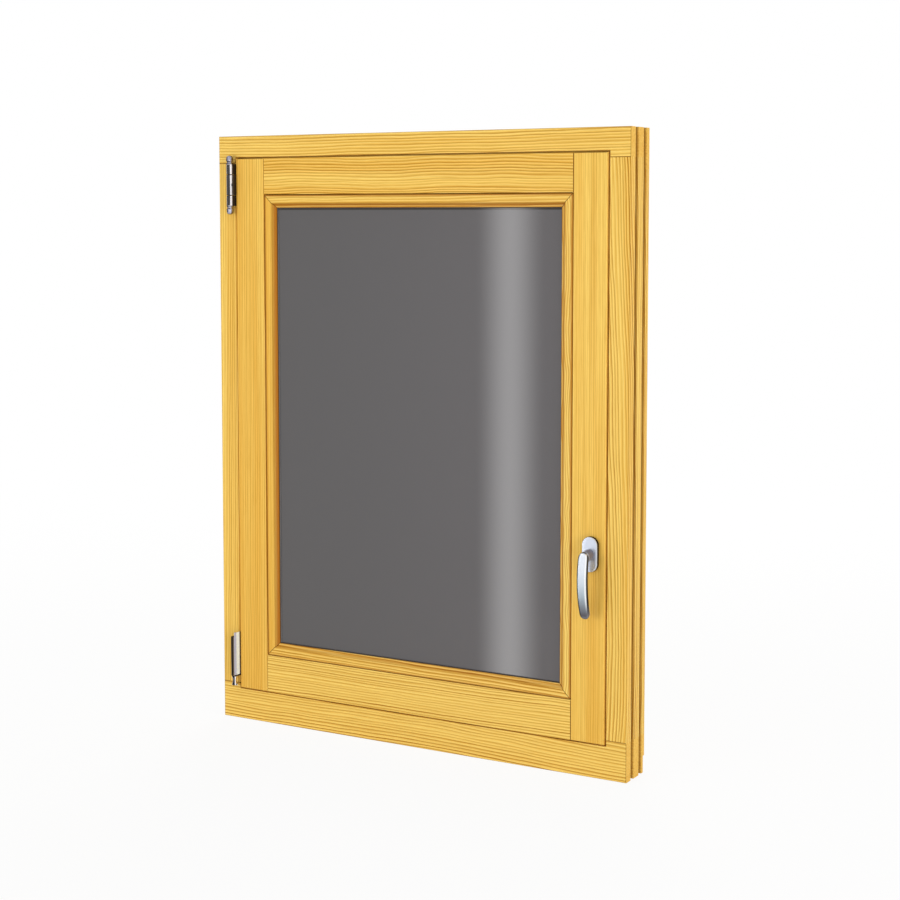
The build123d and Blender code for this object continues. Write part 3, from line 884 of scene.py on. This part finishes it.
before = set(form.verts)
bmesh.ops.create_circle(form, cap_ends=True, segments=40, radius=1)
ring = [edge for edge in form.edges if all(v not in before for v in edge.verts)]
lay = Matrix.Rotation(math.radians(90), 4, "X")
stations = [Matrix.Translation((axisX, sashFace - reach, axisZ - drop)) @ lay
            @ Matrix.Diagonal((wide, high, 1, 1)) for reach, wide, high, drop in neck]
bmesh.ops.transform(form, matrix=stations[0], verts=newPoints(form, before))
drawThrough(form, ring, stations)
lever = finishPiece(form, "handleLever", "handle", handleSilver, ["handle_lever"])
remesh = lever.modifiers.new("castInOne", "REMESH")
remesh.mode = "VOXEL"
remesh.voxel_size = grip["voxel"]
remesh.use_smooth_shade = True
smooth = lever.modifiers.new("polish", "SMOOTH")
smooth.factor = grip["polish"]
smooth.iterations = grip["polishRounds"]
print("handle modelled")


railLow, railHigh = placeOf("rain_rail")
rail = {"lip": 10, "slope": 4, "corner": 1.2, "slotHalf": 15, "slotLow": 2.2, "slotHigh": 6.2,
        "slotDepth": 1.6, "slotSpacing": 205}
railOutline = [(railLow.y, railLow.z), (railHigh.y, railLow.z),
               (railHigh.y, railLow.z + rail["lip"]),
               (railLow.y + rail["slope"], railHigh.z), (railLow.y, railHigh.z)]
form = bmesh.new()
bar(form, [(railLow.x, y, z) for y, z in railOutline], (railHigh.x - railLow.x, 0, 0),
    {2: rail["corner"] * 2, 3: rail["corner"]})
slots = [index * rail["slotSpacing"] for index in (-1, 0, 1)]
for across in slots:
    for side in (-rail["slotHalf"], rail["slotHalf"]):
        cutLine(form, (across + side, 0, 0), (1, 0, 0))
for height in (rail["slotLow"], rail["slotHigh"]):
    cutLine(form, (0, 0, railLow.z + height), (0, 0, 1))
bmesh.ops.recalc_face_normals(form, faces=form.faces)


def overSlot(face):  # whether a face of the rail's front lies where a drain slot goes
    middle = face.calc_center_median()
    return (face.normal.y > 0.99 and rail["slotLow"] < middle.z - railLow.z < rail["slotHigh"]
            and any(abs(middle.x - across) < rail["slotHalf"] for across in slots))


for hole in [face for face in form.faces if overSlot(face)]:
    drawn = bmesh.ops.extrude_face_region(form, geom=[hole])
    bmesh.ops.translate(form, vec=(0, -rail["slotDepth"], 0), verts=pointsOf(drawn))
    bmesh.ops.delete(form, geom=[hole], context="FACES_ONLY")
finishPiece(form, "rainRail", "window", railSilver, ["rain_rail"])

# An end cap's corners are rounded by their place in the outline
railCap = {"corners": {1: 0.8, 2: 2.5, 3: 1.5, 4: 0.8}, "arris": 0.5}
for name, node in (("railCapLeft", "rain_rail_cap_left"), ("railCapRight", "rain_rail_cap_right")):
    capLow, capHigh = placeOf(node)
    form = bmesh.new()
    bar(form, [(capLow.x, y, z) for y, z in railOutline], (capHigh.x - capLow.x, 0, 0),
        railCap["corners"])
    roundEdges(form, [edge for edge in form.edges if edge.calc_face_angle(0) > 1.4],
               railCap["arris"])
    finishPiece(form, name, "window", plastic, [node])
print("rain rail modelled")


view = {
    "place": (1.6841, -2.8427, 0.9873),  # metres
    "turn": 29.775,  # degrees
    "down": 4.652,
    "lens": 71.91,  # millimetres
    "sensor": 36,
    "shift": -0.1,
}
camera = addObject("camera", bpy.data.cameras.new("camera"))
camera.location = view["place"]
camera.rotation_euler = (math.radians(90 - view["down"]), 0, math.radians(view["turn"]))
camera.data.lens = view["lens"]
camera.data.sensor_width = view["sensor"]
camera.data.shift_y = view["shift"]
bpy.context.scene.camera = camera
bpy.context.scene.view_settings.view_transform = "Standard"

studio = {
    "skyLight": 0.66,
    "floorSize": 24,
    "floorWhiteness": (0.91, 1),
    "floorFade": (0.8, 3.5),
    "floor": colour(248, 247, 245),
    "lamps": {
        "keyLamp": {"place": (-1.7, -4.1, 0.4), "aim": (0, 0, 0.4), "size": 2, "power": 66},
        "sideLamp": {"place": (4.2, -1.1, 1), "aim": (0, 0, 0.5), "size": 2, "power": 50},
        "backLamp": {"place": (-1.5, 4.2, 2.2), "aim": (0, 0, 0.5), "size": 2.4, "power": 80},
    },
    # Thin boards that only shiny surfaces see. The strength eases from the first value in the
    # middle to the second at the fade's distance from it, in metres
    "cards": {
        "glassGleam": {"x": (-0.166, 0.034), "y": (-0.531, -0.53), "z": (0.002, 1.06),
                       "strength": (5.1, 1), "fade": 0.085},
        "topHingeShade": {"x": (-0.52, -0.3884), "y": (-0.063, -0.062), "z": (1.003, 1.081),
                          "strength": (0.07, 0.07), "fade": 1},
        "bottomHingeShade": {"x": (-0.52, -0.3895), "y": (-0.063, -0.062), "z": (0.06, 0.178),
                             "strength": (0.02, 0.02), "fade": 1},
        "hingeCapShade": {"x": (-0.52, -0.408), "y": (-0.065, -0.064), "z": (0.98, 1.105),
                          "strength": (0.12, 0.12), "fade": 1},
        "hingeBackShade": {"x": (-0.9, -0.445), "y": (0.06, 0.061), "z": (0.06, 1.12),
                           "strength": (0.03, 0.03), "fade": 1},
    },
}
white = (1, 1, 1, 1)


def backgroundRay(start):  # 1 where the eye, a mirror or glass sees the surface
    rays = [start.node("ShaderNodeLightPath", {}, {}, kind)
            for kind in ("Is Camera Ray", "Is Glossy Ray", "Is Transmission Ray")]
    return start.math("MAXIMUM", start.math("MAXIMUM", rays[0], rays[1]), rays[2])


def glow(start, strength, kind="ShaderNodeEmission"):
    return start.node(kind, {}, {"Color": white, "Strength": strength})


world = bpy.data.worlds.new("studio")
bpy.context.scene.world = world
world.use_nodes = True
world.node_tree.nodes.clear()
start = Wire(world.node_tree)
lighting, backdrop = (glow(start, strength, "ShaderNodeBackground")
                      for strength in (studio["skyLight"], 1))
shown = start.node("ShaderNodeMixShader", {}, {0: backgroundRay(start), 1: lighting, 2: backdrop})
start.node("ShaderNodeOutputWorld", {}, {"Surface": shown}, None)

form = bmesh.new()
bmesh.ops.create_grid(form, x_segments=1, y_segments=1, size=studio["floorSize"] / 2)
floorMesh = bpy.data.meshes.new("floor")
form.to_mesh(floorMesh)
form.free()
floor = addObject("floor", floorMesh)
material, start = newMaterial("floor")
matt = start.node("ShaderNodeBsdfDiffuse", {}, {"Color": studio["floor"]})
x, y = coordinates(start)[:2]
whiteness = ease((x * x + y * y) ** 0.5, *studio["floorFade"], *studio["floorWhiteness"])
shown = start.node("ShaderNodeMixShader", {},
                   {0: backgroundRay(start) * whiteness, 1: matt, 2: glow(start, 1)})
start.node("ShaderNodeOutputMaterial", {}, {"Surface": shown}, None)
floorMesh.materials.append(material)

for name, lamp in studio["lamps"].items():
    light = bpy.data.lights.new(name, "AREA")
    light.size = lamp["size"]
    light.energy = lamp["power"]
    holder = addObject(name, light)
    place, aim = Vector(lamp["place"]), Vector(lamp["aim"])
    holder.location = place
    holder.rotation_euler = (aim - place).to_track_quat("-Z", "Y").to_euler()
    holder.visible_glossy = False  # the glass shows no lamps

for name, card in studio["cards"].items():
    low, high = (Vector(ends) for ends in zip(card["x"], card["y"], card["z"]))
    form = bmesh.new()
    addBlock(form, low, high)
    cardMesh = bpy.data.meshes.new(name)
    form.to_mesh(cardMesh)
    form.free()
    material, start = newMaterial(name)
    offside = absolute(coordinates(start)[0] - (low.x + high.x) / 2)
    first, second = (glow(start, strength) for strength in card["strength"])
    blend = start.node("ShaderNodeMixShader", {},
                       {0: ease(offside, 0, card["fade"]), 1: first, 2: second})
    start.node("ShaderNodeOutputMaterial", {}, {"Surface": blend}, None)
    cardMesh.materials.append(material)
    board = addObject(name, cardMesh)
    board.visible_camera = False
    board.visible_diffuse = False
    board.visible_transmission = False
    board.visible_shadow = False
print("camera and studio set")
